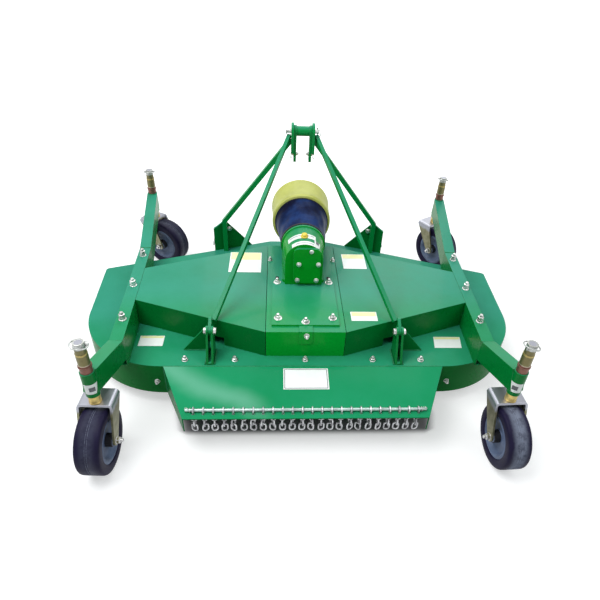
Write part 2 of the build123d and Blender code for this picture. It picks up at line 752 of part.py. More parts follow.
# Lower hitch pins, each with a head against its inner cheek
with BuildPart() as hitch_pins:
    for name, side in SIDES:
        for near, far, radius in (
            (CHEEK_IN_X - AXLE_HEAD, CHEEK_IN_X, HITCH_HEAD_R),
            (CHEEK_IN_X, CHEEK_OUT_X + CHEEK_T + HITCH_PIN_OUT, HITCH_PIN_R - RUN),
        ):
            with BuildSketch(Plane.YZ.offset(min(side * near, side * far))):
                with Locations((ahead(HITCH_PIN_Y), HITCH_PIN_Z)):
                    Circle(radius)
            extrude(amount=far - near)
keep(hitch_pins, "hitch_pins")

# Blade spindle housings under the deck, each hung from a flange
HOUSING_BOTTOM = BLADE_Z + BLADE_T + AXLE_HEAD + HOUSING_GAP
DECK_UNDER = DECK_TOP - SHEET
with BuildPart() as spindle_housings:
    for name, x, distance in SPINDLES:
        with BuildSketch(Plane.XY.offset(HOUSING_BOTTOM)):
            with Locations((x, ahead(distance))):
                Circle(HOUSING_FOOT_R)
        with BuildSketch(Plane.XY.offset(DECK_UNDER - HOUSING_FLANGE_T)):
            with Locations((x, ahead(distance))):
                Circle(HOUSING_R)
        loft()
        with BuildSketch(Plane.XY.offset(DECK_UNDER - HOUSING_FLANGE_T)):
            with Locations((x, ahead(distance))):
                Circle(HOUSING_FLANGE_R)
        extrude(amount=HOUSING_FLANGE_T)
        with BuildSketch(Plane.XY.offset(HOUSING_BOTTOM)):
            with Locations((x, ahead(distance))):
                Circle(SPINDLE_R + RUN)
        extrude(amount=DECK_UNDER - HOUSING_BOTTOM, mode=Mode.SUBTRACT)
keep(spindle_housings, "spindle_housings")

# Blades: a flat bar under a hub, with a raised wing behind each cutting end
for name, x, distance in SPINDLES:
    y = ahead(distance)
    with BuildPart() as blade:
        with BuildSketch(Plane.XY.offset(BLADE_Z)):
            with Locations((x, y)):
                Circle(BLADE_R)
                Rectangle(2 * BLADE_R, BLADE_W, mode=Mode.INTERSECT)
        extrude(amount=BLADE_T)
        for end in (-1, 1):
            wing_x = x + end * (BLADE_R - WING_LENGTH)
            heel = y - end * BLADE_W / 2
            with BuildSketch(Plane.YZ.offset(wing_x - WING_LENGTH / 2)):
                add(outline(
                    (heel + end * WING_RISE, BLADE_Z + BLADE_T),
                    (heel, BLADE_Z + BLADE_T),
                    (heel, BLADE_Z + BLADE_T + WING_RISE),
                ))
            extrude(amount=WING_LENGTH)
        with BuildSketch(Plane.XY.offset(BLADE_Z + BLADE_T)):
            with Locations((x, y)):
                Circle(HUB_R)
        extrude(amount=AXLE_HEAD)
        with BuildSketch(Plane.XY.offset(BLADE_Z - AXLE_HEAD)):
            with Locations((x, y)):
                RegularPolygon(BLADE_NUT_R, 6)
        extrude(amount=AXLE_HEAD)
        with BuildSketch(Plane.XY.offset(BLADE_Z)):
            with Locations((x, y)):
                Circle(SPINDLE_R)
        extrude(amount=DECK_UNDER - BLADE_Z - SEAT)
    keep(blade, f"blade_{name}")


def caster_fork():
    """Strap bent over the wheel, tapered to the axle, with its spindle and axle bolt."""
    rear = FORK_LEAD - FORK_PLATE
    knee = CROWN_Z - FORK_T
    with BuildPart() as fork:
        with BuildSketch(Plane.YZ.offset(-FORK_HALF)):
            with Locations((-TRAIL, WHEEL_Z)):
                Circle(FORK_END_R)
            add(outline((rear, knee), (FORK_LEAD, knee), (FORK_LEAD, SPINDLE_FOOT), (rear, SPINDLE_FOOT)))
            make_hull()
        extrude(amount=2 * FORK_HALF)
        with BuildSketch(Plane.XZ.offset(-FORK_LEAD)) as bent:
            with Locations((0, SPINDLE_FOOT / 2)):
                Rectangle(2 * FORK_HALF, SPINDLE_FOOT)
            fillet(bent.vertices().group_by(Axis.Z)[-1], radius=FORK_BEND_R)
            with BuildSketch(mode=Mode.SUBTRACT) as inside:
                with Locations((0, CROWN_Z / 2)):
                    Rectangle(2 * (FORK_HALF - FORK_T), CROWN_Z)
                fillet(inside.vertices().group_by(Axis.Y)[-1], radius=FORK_BEND_R - FORK_T)
        extrude(amount=FORK_PLATE + TRAIL, mode=Mode.INTERSECT)
        for radius, top in ((COLLAR_R, TUBE_BOTTOM - SEAT), (SPINDLE_R, SPINDLE_TOP)):
            with BuildSketch(Plane.XY.offset(SPINDLE_FOOT)):
                Circle(radius)
            extrude(amount=top - SPINDLE_FOOT)
        with BuildSketch(Plane.YZ.offset(-FORK_HALF)):
            with Locations((-TRAIL, WHEEL_Z)):
                Circle(AXLE_R)
        extrude(amount=2 * FORK_HALF)
        for head_x in (-FORK_HALF - AXLE_HEAD, FORK_HALF):
            with BuildSketch(Plane.YZ.offset(head_x)):
                with Locations((-TRAIL, WHEEL_Z)):
                    RegularPolygon(AXLE_HEAD_R, 6)
            extrude(amount=AXLE_HEAD)
    return fork.part


def wheel_ring(*points):
    """Ring turned about the axle: points are distance from the wheel's middle and radius."""
    with BuildPart() as ring:
        with BuildSketch(Plane(origin=(0, -TRAIL, WHEEL_Z), x_dir=(1, 0, 0), z_dir=(0, -1, 0))):
            add(outline(*points))
        revolve(axis=Axis((0, -TRAIL, WHEEL_Z), (1, 0, 0)))
    return ring.part


def caster_tyre():
    """Smooth solid tyre with chamfered shoulders."""
    half = WHEEL_W / 2
    return wheel_ring(
        (-half, RIM_R), (-half, WHEEL_R - TYRE_CORNER), (-half + TYRE_CORNER / 3, WHEEL_R - TYRE_CORNER / 3),
        (-half + TYRE_CORNER, WHEEL_R), (half - TYRE_CORNER, WHEEL_R),
        (half - TYRE_CORNER / 3, WHEEL_R - TYRE_CORNER / 3), (half, WHEEL_R - TYRE_CORNER), (half, RIM_R),
    )


def caster_hub():
    """Hub with a raised boss each side, a dished web and a flat rim."""
    half = WHEEL_W / 2
    boss = half + BOSS_STAND
    bore = AXLE_R + RUN
    flank = ((boss, bore), (boss, BOSS_R), (half - RIM_DISH, BOSS_R + RIM_DISH),
             (half, RIM_R - RIM_LIP), (half, RIM_R))
    return wheel_ring(*flank, *[(-x, radius) for x, radius in reversed(flank)])


def spacer_stack():
    """Height spacers on the spindle above its tube, and the round cap that ends it."""
    with BuildPart() as stack:
        floor = TUBE_TOP + SEAT
        for radius, height in SPACERS:
            with BuildSketch(Plane.XY.offset(floor)):
                Circle(radius)
                Circle(SPINDLE_R, mode=Mode.SUBTRACT)
            extrude(amount=height)
            floor += height
    return stack.part


CASTER_PIECES = [
    ("caster_fork", caster_fork()),
    ("caster_tyre", caster_tyre()),
    ("caster_hub", caster_hub()),
    ("caster_spacers", spacer_stack()),
]
for name, x, y, angle in CASTERS:
    for piece_name, piece in CASTER_PIECES:
        with BuildPart() as placed:
            with Locations(Location((x, y, 0), (0, 0, angle))):
                add(piece)
        keep(placed, f"{piece_name}_{name}")
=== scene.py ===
import math

import bmesh
import bpy
import numpy as np
from mathutils import Matrix, Vector


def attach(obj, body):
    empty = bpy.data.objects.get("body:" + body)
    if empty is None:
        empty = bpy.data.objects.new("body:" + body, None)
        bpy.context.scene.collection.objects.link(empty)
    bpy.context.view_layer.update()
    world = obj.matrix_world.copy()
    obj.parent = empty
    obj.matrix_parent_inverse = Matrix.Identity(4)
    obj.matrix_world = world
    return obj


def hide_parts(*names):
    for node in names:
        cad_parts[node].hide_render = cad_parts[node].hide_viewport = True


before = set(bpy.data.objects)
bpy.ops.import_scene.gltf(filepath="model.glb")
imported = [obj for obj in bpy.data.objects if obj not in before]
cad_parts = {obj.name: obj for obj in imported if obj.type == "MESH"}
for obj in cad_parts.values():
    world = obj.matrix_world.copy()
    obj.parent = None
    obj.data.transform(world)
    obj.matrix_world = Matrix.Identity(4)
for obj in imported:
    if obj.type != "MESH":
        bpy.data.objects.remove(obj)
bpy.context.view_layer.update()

UP = (0, 0, 1)
FORWARD = (0, 1, 0)
REARWARD = (0, -1, 0)
RIGHTWARD = (1, 0, 0)
SIDES = [("left", -1), ("right", 1)]
REAR_Y = -0.63055


def ahead(distance):
    """Place along the machine from a distance in metres ahead of the rear swivel axes."""
    return REAR_Y + distance


# Sizes in metres, as in the solids: deck, chute and skirt
DECK_TOP = 0.205
LIP_Z = 0.174
LIP_Y = -0.008
CHUTE_SLOPE = 0.031 / 0.238
LOBE_X = 0.558
LOBE_Y = ahead(0.590)
LOBE_R = 0.360

# Rails, stand and gearbox
RAIL_TOP = 0.329
RAIL_REAR = 0.235
RAIL_REAR_X = 0.707
RAIL_FRONT_X = 0.733
RAIL_LENGTH = 0.670
STAND_TOP = 0.337
SLOT_X = 0.1125
LID_Y = ahead(0.592)
NECK_Y = ahead(0.604)
NECK_R = 0.080
NECK_GROWTH = 0.012
NECK_LENGTH = 0.141

# Shaft, guard and boot
SHAFT_Z = 0.455
GUARD_REAR = 0.950
BOOT_REAR = 0.745
BOOT_LENGTH = 0.205
BOOT_REAR_R = 0.0955
BOOT_GROWTH = 0.0275
BOOT_WALL = 0.003

# Hitch and mast
HITCH_PIN_Y = ahead(1.1855)
HITCH_PIN_Z = 0.203
MAST_Y = ahead(1.115)
MAST_Z = 0.829
STRAP_BOLT_Z = 0.7245
LUG_X = 0.372
LUG_HALF = 0.014
LUG_Y = ahead(0.309)
LUG_Z = 0.317
BRACKET_SLOPE = 0.290 / 0.787
WEB_BOLT_X = 0.3575

# Casters: name, x, y, turn of the wheel from straight behind in degrees
FRONT_Y = ahead(1.351)
CASTERS = [
    ("rear_left", -0.728, REAR_Y, -3.0),
    ("rear_right", 0.728, REAR_Y, 3.0),
    ("front_left", -0.776, FRONT_Y, 62.0),
    ("front_right", 0.776, FRONT_Y, 32.0),
]
TUBE_R = 0.024
WHEEL_R = 0.121
TRAIL = 0.051
FORK_HALF = 0.0605
LINCH_Z = 0.511
DUST = {"left": 0.2, "right": 1.25}

# Chains on their rod; the swing is in degrees
ROD_Y = ahead(0.024)
ROD_Z = 0.1845
CHAINS = 24
CHAIN_REACH = 0.4105
LINKS = 4
LINK_LENGTH = 0.041
LINK_WIDTH = 0.0275
LINK_WIRE = 0.0066
LINK_DROP = 0.0079
LINK_PITCH = 0.0279
SWING = 16

# The photograph's viewpoint, fitted to the machine's known points; the lens is in millimetres
CAMERA_PLACE = (-0.1173, ahead(-1.2318), 1.6024)
PITCH = math.radians(37.77)
ROLL = math.radians(3.52)
YAW = math.radians(5.07)
LENS = 30.77
SHIFT_X = -0.0197
SHIFT_Y = 0.0233


# Surfaces
def grid(points, wrap_rows=False, wrap_columns=True):
    """Vertices and quads of a surface given as rows and columns of points."""
    rows, columns, _ = points.shape
    index = np.arange(rows * columns).reshape(rows, columns)
    if wrap_rows:
        index = np.vstack([index, index[:1]])
    if wrap_columns:
        index = np.hstack([index, index[:, :1]])
    corners = [index[:-1, :-1], index[:-1, 1:], index[1:, 1:], index[1:, :-1]]
    return points.reshape(-1, 3), np.stack(corners, -1).reshape(-1, 4)


def lathe(profile, sides=32):
    """A profile of (radius, height) points turned about Z, each point giving one ring."""
    profile = np.array(profile, float)
    angle = np.arange(sides) * 2 * math.pi / sides
    points = np.empty((len(profile), sides, 3))
    points[..., 0] = profile[:, :1] * np.cos(angle)
    points[..., 1] = profile[:, :1] * np.sin(angle)
    points[..., 2] = profile[:, 1:]
    return grid(points)


def tube(path, radius, sides=10, closed=False):
    """A circle carried along a path of points, square to it, with a radius that may vary along it."""
    path = np.array(path, float)
    run = np.roll(path, -1, 0) - np.roll(path, 1, 0)
    if not closed:
        run[0] = path[1] - path[0]
        run[-1] = path[-1] - path[-2]
    tangent = run / np.linalg.norm(run, axis=1, keepdims=True)
    reference = np.eye(3)[int(np.argmin(np.ptp(path, axis=0)))]
    across = np.cross(tangent, reference)
    across /= np.linalg.norm(across, axis=1, keepdims=True)
    other = np.cross(tangent, across)
    angle = (np.arange(sides) * 2 * math.pi / sides)[None, :, None]
    reach = np.broadcast_to(np.asarray(radius, float), len(path)).reshape(-1, 1, 1)
    ring = across[:, None] * np.cos(angle) + other[:, None] * np.sin(angle)
    points = path[:, None] + reach * ring
    if not closed:
        first = path[:1, None] + 0 * ring[:1]
        last = path[-1:, None] + 0 * ring[-1:]
        points = np.concatenate([first, points, last])
    return grid(points, wrap_rows=closed)


def bead(start, end, radius, ripple=0.0045):
    """Weld bead: a tube between two points whose radius swells and shrinks once in each ripple."""
    start = np.array(start, float)
    end = np.array(end, float)
    length = np.linalg.norm(end - start)
    share = np.linspace(0, 1, max(8, int(length / ripple * 6)))[:, None]
    swell = 1 + 0.16 * np.cos(share[:, 0] * length / ripple * 2 * math.pi) + 0.1 * np.sin(share[:, 0] * 17)
    return tube(start + share * (end - start), radius * swell, 10)


def joined(*shapes):
    """Several shapes as one."""
    points = np.concatenate([shape[0] for shape in shapes])
    starts = np.cumsum([0] + [len(shape[0]) for shape in shapes[:-1]])
    return points, np.concatenate([shape[1] + start for shape, start in zip(shapes, starts)])


def placed(shape, origin, up=UP, turn=0.0):
    """A shape moved to an origin with its Z along a direction, turned about it by degrees."""
    turned = Matrix.Rotation(math.radians(turn), 3, "Z")
    rotation = Vector(up).to_track_quat("Z", "Y").to_matrix() @ turned
    return shape[0] @ np.array(rotation).T + np.array(origin, float), shape[1]


def piece(name, shape, material, body, sharp=40.0):
    """A visible object made from a shape, riding on a body of the machine."""
    mesh = bpy.data.meshes.new(name)
    points, quads = shape
    mesh.vertices.add(len(points))
    mesh.vertices.foreach_set("co", points.astype(np.float32).ravel())
    mesh.loops.add(quads.size)
    mesh.loops.foreach_set("vertex_index", quads.astype(np.int32).ravel())
    mesh.polygons.add(len(quads))
    mesh.polygons.foreach_set("loop_start", np.arange(0, quads.size, 4, dtype=np.int32))
    mesh.update(calc_edges=True)
    work = bmesh.new()
    work.from_mesh(mesh)
    bmesh.ops.remove_doubles(work, verts=work.verts, dist=1e-6)
    bmesh.ops.recalc_face_normals(work, faces=work.faces)
    work.to_mesh(mesh)
    work.free()
    mesh.polygons.foreach_set("use_smooth", np.ones(len(mesh.polygons), bool))
    mesh.set_sharp_from_angle(angle=math.radians(sharp))
    mesh.materials.append(material)
    made = bpy.data.objects.new(name, mesh)
    bpy.context.scene.collection.objects.link(made)
    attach(made, body)
    return made


# Materials
class Signal:
    """A socket of a material that can be used in sums."""

    def __init__(self, shader, socket):
        self.shader = shader
        self.socket = socket

    def math(self, operation, *others):
        inputs = {0: self}
        for place, other in enumerate(others, 1):
            inputs[place] = other
        return self.shader.node("Math", inputs, operation=operation)

    def __add__(self, other):
        return self.math("ADD", other)

    def __sub__(self, other):
        return self.math("SUBTRACT", other)

    def __rsub__(self, other):
        return self.shader.node("Math", {0: other, 1: self}, operation="SUBTRACT")

    def __mul__(self, other):
        return self.math("MULTIPLY", other)

    __radd__ = __add__
    __rmul__ = __mul__

    def step(self, low, high):
        """0 at low, 1 at high and smooth between them; low may be the larger of the two."""
        inputs = {"Value": self, "From Min": low, "From Max": high}
        return self.shader.node("MapRange", inputs, interpolation_type="SMOOTHSTEP")


class Shader:
    """A material whose nodes are added one call at a time."""

    def __init__(self, name, **fixed):
        self.material = bpy.data.materials.new(name)
        self.material.use_nodes = True
        self.tree = self.material.node_tree
        self.surface = self.tree.nodes["Principled BSDF"]
        for socket, value in fixed.items():
            self.surface.inputs[socket.replace("_", " ")].default_value = value

    def node(self, kind, inputs, output=0, **settings):
        """A new node with its inputs set or linked, given as the signal of one of its outputs."""
        made = self.tree.nodes.new("ShaderNode" + kind)
        for key, value in settings.items():
            setattr(made, key, value)
        for key, value in inputs.items():
            if isinstance(value, Signal):
                self.tree.links.new(value.socket, made.inputs[key])
            else:
                made.inputs[key].default_value = value
        return Signal(self, made.outputs[output])

    def place(self):
        return self.node("TexCoord", {}, output="Object")

    def normal(self):
        return self.node("NewGeometry", {}, output="Normal")

    def dot(self, first, second):
        return self.node("VectorMath", {0: first, 1: second}, output="Value", operation="DOT_PRODUCT")

    def length(self, vector):
        return self.node("VectorMath", {0: vector}, output="Value", operation="LENGTH")

    def along(self, direction):
        """Distance of a place from the origin along a direction."""
        return self.dot(self.place(), direction)

    def facing(self, direction):
        """How far a surface faces a direction, from -1 to 1."""
        return self.dot(self.normal(), direction)

    def noise(self, scale, detail=3.0, roughness=0.5):
        inputs = {"Vector": self.place(), "Scale": scale, "Detail": detail, "Roughness": roughness}
        return self.node("TexNoise", inputs)

    def mix(self, share, first, second):
        """Colour between two colours by a share from 0 to 1."""
        inputs = {0: share, 6: first, 7: second}
        return self.node("Mix", inputs, output=2, data_type="RGBA")

    def rounded(self, radius):
        """Normal of the surface with its edges rounded."""
        return self.node("Bevel", {"Radius": radius}, samples=6)

    def edges(self, radius):
        """1 along an edge and 0 on the flats."""
        likeness = self.dot(self.rounded(radius), self.normal())
        return (1 - likeness).step(0.01, 0.25)

    def bump(self, height, strength, distance, radius=0.0):
        inputs = {"Height": height, "Strength": strength, "Distance": distance}
        if radius:
            inputs["Normal"] = self.rounded(radius)
        return self.node("Bump", inputs)

    def done(self, **varying):
        for socket, signal in varying.items():
            self.tree.links.new(signal.socket, self.surface.inputs[socket.replace("_", " ")])
        return self.material


def colour(red, green, blue):
    return (red, green, blue, 1.0)


def paint(name, deep, top, rear_level_sheen=None, dust_and_sheen=0.3, gloss=0.22, highlight_line=None, specular=0.1):
    """Gloss enamel on sheet steel: deep on upright faces and paler on level ones, which paints shade on the
    upright faces and a sky reflection on the level ones; lighter along the edges, partly from wear and partly
    as a painted highlight.

    Level faces may have another tint of that painted reflection at the rear, and a patchy film of dust whose
    pale tint also paints a sheen. A highlight line, given by its distance from the origin square to its run,
    places a painted highlight: a hazy band on the left.
    """
    bevel = 0.0025
    shader = Shader(name, Specular_IOR_Level=specular, Coat_Roughness=0.1)
    broad = shader.noise(3.2, 4.0)
    blotch = shader.noise(17.0, 6.0, 0.6)
    speck = shader.noise(140.0, 7.0, 0.8).step(0.66, 0.72)
    level = shader.facing(UP).step(0.35, 0.97)
    # At the rear, level faces take another tint of the painted sky reflection
    if rear_level_sheen:
        top = shader.mix(shader.along(FORWARD).step(ahead(0.36), ahead(0.60)), rear_level_sheen, top)
    # A patchy dust film on level faces roughens them; its pale blue-green tint is also a painted sky
    # reflection
    film = level * (broad * 0.7 + blotch * 0.5).step(0.25, 0.85)
    # Deep tint on upright faces and paler tint on level ones: painted shade and painted sky reflection
    body = shader.mix(level * (broad.step(0.2, 0.8) * 0.25 + 0.75), deep, top)
    with_dust_and_sheen = shader.mix(film * dust_and_sheen, body, colour(0.055, 0.35, 0.24))
    # Painted highlight: a pale hazy band across the level faces on the left
    if highlight_line:
        across = shader.along((0.524, 0.852, 0)) - highlight_line + (broad * 0.12 - 0.06)
        band = across.step(-0.075, 0.0) * across.step(0.075, 0.0)
        share = band * shader.along(RIGHTWARD).step(-0.10, -0.24)
        with_dust_and_sheen = shader.mix(level * share * 0.5, with_dust_and_sheen, colour(0.19, 0.48, 0.35))
    # Lighter green along the edges: partly wear, partly a painted highlight
    wear_and_edge_highlight = shader.mix(shader.edges(bevel * 1.4) * 0.35, with_dust_and_sheen, colour(0.06, 0.36, 0.17))
    specked = shader.mix(speck * level * 0.35, wear_and_edge_highlight, colour(0.20, 0.42, 0.30))
    return shader.done(
        Base_Color=specked,
        Roughness=film * 0.16 + blotch * 0.12 + gloss,
        Coat_Weight=level * 0.08 + 0.01,
        Normal=shader.bump(shader.noise(260.0, 2.0), 0.05, 0.001, bevel),
    )


def plated(name, first, second, roughness, upper=None, height=0.0):
    """Zinc plate with patches of two tints, small scratches and perhaps another tint above a height."""
    shader = Shader(name, Metallic=0.85)
    patches = shader.noise(38.0, 4.0, 0.6)
    grain = shader.noise(420.0, 2.0)
    tint = shader.mix(patches.step(0.35, 0.68), first, second)
    if upper:
        above = (shader.along(UP) + patches * 0.02).step(height, height + 0.015)
        tint = shader.mix(above, tint, upper)
    return shader.done(
        Base_Color=shader.mix(grain.step(0.55, 0.75) * 0.35, tint, colour(0.25, 0.24, 0.2)),
        Roughness=patches * 0.2 + grain * 0.1 + roughness,
        Normal=shader.bump(grain, 0.12, 0.0006, 0.0012),
    )


def banded(name, bands):
    """Turned rings stacked along Z, each with its own tint from its floor up, with turning marks."""
    shader = Shader(name, Metallic=0.7)
    height = shader.along(UP)
    tint = bands[0][1]
    for floor, band in bands[1:]:
        tint = shader.mix(height.step(floor - 0.0002, floor + 0.0002), tint, band)
    grime = shader.noise(60.0, 6.0, 0.7)
    wave = {"Vector": shader.place(), "Scale": 240.0, "Distortion": 1.5}
    marks = shader.node("TexWave", wave, bands_direction="Z")
    return shader.done(
        Base_Color=shader.mix(grime.step(0.48, 0.72) * 0.5, tint, colour(0.09, 0.075, 0.05)),
        Roughness=grime * 0.25 + 0.35,
        Normal=shader.bump(marks * 0.5 + grime, 0.2, 0.0006, 0.001),
    )


def plastic(name, deep, pale, roughness, scale=9.0, specular=0.25, coat=0.04):
    """Moulded or brushed coat with broad changes of tint, a fine grain and a few scuffs."""
    shader = Shader(name, Coat_Weight=coat, Coat_Roughness=0.2, Specular_IOR_Level=specular)
    broad = shader.noise(scale, 5.0, 0.6)
    grain = shader.noise(300.0, 3.0)
    scuffs = shader.noise(60.0, 8.0, 0.75).step(0.62, 0.72)
    return shader.done(
        Base_Color=shader.mix(broad.step(0.3, 0.75) + scuffs * 0.25, deep, pale),
        Roughness=scuffs * 0.25 + grain * 0.15 + roughness,
        Normal=shader.bump(grain + broad * 2.0, 0.1, 0.001),
    )


def tyre_rubber(name, centre, axle, dust_share):
    """Worn rubber, dusty along the middle of the tread, with a seam line and pits in rows round the wheel."""
    shader = Shader(name, Specular_IOR_Level=0.1)
    from_centre = shader.node("VectorMath", {0: shader.place(), 1: centre}, operation="SUBTRACT")
    across = shader.dot(from_centre, axle)
    beside = across.math("ABSOLUTE")
    tread = shader.length(from_centre).step(WHEEL_R * 0.93, WHEEL_R * 0.985)
    ragged = shader.noise(34.0, 7.0, 0.7)
    band = (beside + (ragged * 0.03 - 0.015)).step(0.034, 0.012)
    dust = tread * band * (ragged.step(0.32, 0.58) * 0.65 + 0.35) * dust_share
    black = shader.mix(ragged, colour(0.004, 0.003, 0.014), colour(0.016, 0.013, 0.045))
    pits = shader.noise(240.0, 5.0, 0.7)
    seam = (beside - 0.0033).math("ABSOLUTE").step(0.0012, 0.0003) * tread * pits.step(0.35, 0.6)
    rows = (across * 900.0).math("SINE")
    pale = dust * 0.6 + seam * 0.5 + pits.step(0.66, 0.78) * 0.12
    return shader.done(
        Base_Color=shader.mix(pale, black, colour(0.23, 0.26, 0.34)),
        Roughness=dust * 0.25 + pits * 0.2 + 0.4,
        Normal=shader.bump(pits * 0.6 + ragged + rows * 0.12, 0.35, 0.0012),
    )


def printed(name, tint, spots=0.0):
    """Printed film, clean and slightly uneven, with a soft wrinkle and a few worn spots."""
    shader = Shader(name, Roughness=0.35, Coat_Weight=0.2)
    soft = shader.noise(22.0, 3.0)
    speck = shader.noise(180.0, 6.0, 0.8).step(0.66, 0.74)
    wear = soft.step(0.3, 0.8) * 0.16 + speck * (0.15 + spots)
    return shader.done(
        Base_Color=shader.mix(wear, tint, colour(0.42, 0.48, 0.44)),
        Normal=shader.bump(soft, 0.1, 0.001),
    )


# Copies of the one green enamel, each with its own deep and level tints: besides the paint's colour these
# paint light and shade, as a sky reflection on level faces (TEAL, VIVID and the other level tints) and as
# lighter upright faces on the channel, the stand and the bars, where more light falls
TEAL = colour(0.022, 0.240, 0.155)
VIVID = colour(0.006, 0.225, 0.075)
green = paint("green_enamel", colour(0.0006, 0.185, 0.032), TEAL, VIVID)
lit_bar_green = paint("bar_enamel", colour(0.001, 0.240, 0.050), colour(0.018, 0.235, 0.110), dust_and_sheen=0.15)
lit_channel_green = paint("channel_enamel", colour(0.0006, 0.400, 0.034), TEAL, VIVID)
chute_green = paint(
    "chute_enamel", colour(0.002, 0.150, 0.035), colour(0.006, 0.270, 0.100),
    dust_and_sheen=0.15, highlight_line=-0.616, specular=0.01,
)
deck_green = paint(
    "deck_enamel", colour(0.0006, 0.165, 0.024), TEAL, colour(0.008, 0.245, 0.105), specular=0.04,
)
case_green = paint(
    "gearbox_enamel", colour(0.001, 0.330, 0.018), colour(0.014, 0.215, 0.098), dust_and_sheen=0.1, gloss=0.2,
)
weld_green = plastic("weld_enamel", colour(0.002, 0.14, 0.04), colour(0.02, 0.24, 0.11), 0.3, 60.0)
dark_steel = plastic("blade_enamel", colour(0.012, 0.013, 0.013), colour(0.05, 0.05, 0.048), 0.4)
cast_iron = plastic("housing_iron", colour(0.03, 0.034, 0.034), colour(0.075, 0.08, 0.078), 0.55, 30.0)

zinc = plated("zinc_plate", colour(0.72, 0.73, 0.72), colour(0.40, 0.41, 0.40), 0.2)
chain_zinc = plated("chain_zinc", colour(0.60, 0.61, 0.63), colour(0.30, 0.30, 0.32), 0.24)
rod_zinc = plated("rod_zinc", colour(0.42, 0.55, 0.52), colour(0.28, 0.36, 0.34), 0.24)
cap_zinc = plated("cap_zinc", colour(0.50, 0.52, 0.51), colour(0.28, 0.29, 0.27), 0.28)
fork_zinc = plated(
    "fork_plate", colour(0.17, 0.165, 0.09), colour(0.27, 0.26, 0.17), 0.24,
    upper=colour(0.36, 0.37, 0.42), height=0.236,
)
gold_zinc = plated("gold_plate", colour(0.66, 0.48, 0.16), colour(0.45, 0.36, 0.14), 0.28)
bright_steel = plated("bright_steel", colour(0.6, 0.6, 0.6), colour(0.45, 0.45, 0.46), 0.2)
spacer_plate = banded("spacer_plate", [
    (0.4033, colour(0.20, 0.092, 0.070)),
    (0.4370, colour(0.50, 0.45, 0.34)),
    (0.4398, colour(0.17, 0.150, 0.065)),
    (0.4790, colour(0.42, 0.33, 0.12)),
    (0.4853, colour(0.17, 0.150, 0.065)),
    (0.5045, colour(0.42, 0.42, 0.38)),
])

boot_black = plastic(
    "boot_plastic", colour(0.002, 0.003, 0.020), colour(0.015, 0.042, 0.155), 0.30, specular=0.03, coat=0.0,
)
guard_yellow = plastic("guard_plastic", colour(0.42, 0.44, 0.075), colour(0.56, 0.58, 0.16), 0.45, 5.0, 0.3)
plug_yellow = plastic("plug_plastic", colour(0.75, 0.55, 0.05), colour(0.85, 0.68, 0.12), 0.3, 40.0)
hub_grey = plastic("hub_plastic", colour(0.075, 0.10, 0.17), colour(0.14, 0.19, 0.31), 0.4, 14.0)
seal_black = plastic("seal_rubber", colour(0.008, 0.008, 0.01), colour(0.02, 0.02, 0.024), 0.5, 50.0)

white_film = printed("white_film", colour(0.84, 0.87, 0.85))
yellow_film = printed("yellow_film", colour(0.80, 0.78, 0.36))
dark_film = printed("dark_film", colour(0.03, 0.035, 0.05))
grey_film = printed("grey_film", colour(0.42, 0.46, 0.46), 0.3)

# Materials by a node's whole name, then by the start of its name; any other node is green
NODE_MATERIALS = {
    "deck_shell": deck_green,
    "cross_channel": lit_channel_green,
    "gearbox_stand": lit_channel_green,
    "discharge_chute": chute_green,
    "chain_rod": rod_zinc,
    "gearbox": case_green,
    "input_shaft": bright_steel,
    "lug_bolts": zinc,
    "mast_pin": zinc,
    "hitch_pins": zinc,
    "spindle_housings": cast_iron,
}
STEM_MATERIALS = {
    "mast_left": lit_bar_green,
    "mast_right": lit_bar_green,
    "brace_left": lit_bar_green,
    "brace_right": lit_bar_green,
    "float_link": lit_bar_green,
    "blade": dark_steel,
    "caster_fork": fork_zinc,
    "caster_spacers": spacer_plate,
    "caster_hub": hub_grey,
    "caster_tyre": seal_black,
    "chain_curtain": zinc,
    "shaft_boot": boot_black,
    "shaft_guard": guard_yellow,
}
for node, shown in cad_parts.items():
    chosen = NODE_MATERIALS.get(node, green)
    for stem, material in STEM_MATERIALS.items():
        if node.startswith(stem):
            chosen = material
    shown.data.materials.clear()
    shown.data.materials.append(chosen)


# Fasteners
def hexagon(radius, low, high, bevel=0.001):
    """Six-sided head or nut with a rounded top."""
    edge = (radius - bevel * 1.5, high)
    return lathe([(0, low), (radius, low), (radius, high - bevel), edge, (0, high)], 6)


def disc(radius, low, high, bevel=0.0005, sides=24):
    """Round washer, pin end or cap."""
    edge = (radius - bevel, high)
    return lathe([(0, low), (radius, low), (radius, high - bevel), edge, (0, high)], sides)


def bolt_head(size):
    """Washer and hexagon head for a bolt of this shank."""
    return joined(disc(size * 1.05, -0.001, size * 0.18), hexagon(size * 0.9, size * 0.15, size * 0.82))


def nut_on_stud(size, nuts=1):
    """Washer, nuts and the end of the thread that stands out of them."""
    shapes = [disc(size * 1.05, -0.001, size * 0.2)]
    for k in range(nuts):
        shapes.append(hexagon(size * 0.9, size * (0.2 + 0.85 * k), size * (1.0 + 0.85 * k)))
    top = size * (1.0 + 0.85 * (nuts - 1))
    shapes.append(disc(size * 0.48, top - 0.001, top + size * 0.75, size * 0.12, 16))
    return joined(*shapes)


def wire_ring(radius, wire, gap=0.0):
    """Ring of round wire in the XY plane, open by a gap angle to each side of +X."""
    if gap:
        angle = np.linspace(gap, 2 * math.pi - gap, 44)
    else:
        angle = np.linspace(0, 2 * math.pi, 44, endpoint=False)
    circle = np.stack([radius * np.cos(angle), radius * np.sin(angle), 0 * angle], -1)
    return tube(circle, wire, 8, closed=not gap)


def on_frame(name, shape, material=zinc):
    """Small fitting that the frame carries."""
    return piece(name, shape, material, "frame")


